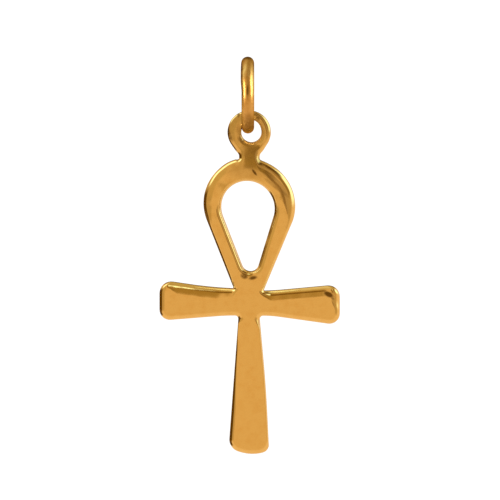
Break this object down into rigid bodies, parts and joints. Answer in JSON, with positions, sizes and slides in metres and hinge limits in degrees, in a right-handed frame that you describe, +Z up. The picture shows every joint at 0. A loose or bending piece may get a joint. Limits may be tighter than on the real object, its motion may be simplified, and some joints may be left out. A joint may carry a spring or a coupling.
{
  "type": "ankh pendant",
  "caption": "Cast gold ankh pendant with an open teardrop loop and flared arms, hanging by its eyelet on a jump ring.",
  "frame": {"origin": "the chain mount: the inside top of the jump ring, where the chain bears", "axes": "+Z up along the hanging pendant, -Y towards the viewer of its front, +X to the viewer's right"},
  "size_m": [0.0181, 0.0076, 0.0397],
  "materials": {
    "ankh_gold": "polished yellow gold",
    "ring_gold": "polished yellow gold wire"
  },
  "bodies": {
    "jump_ring": {"jump_ring": "ring_gold"},
    "ankh": {"ankh": "ankh_gold"}
  },
  "joints": [
    {"name": "ankh_swing", "type": "hinge", "parent": "jump_ring", "child": "ankh", "pos_m": [0, 0, -0.00575], "axis": [0, 1, 0], "range_deg": [-110, 110]}
  ]
}
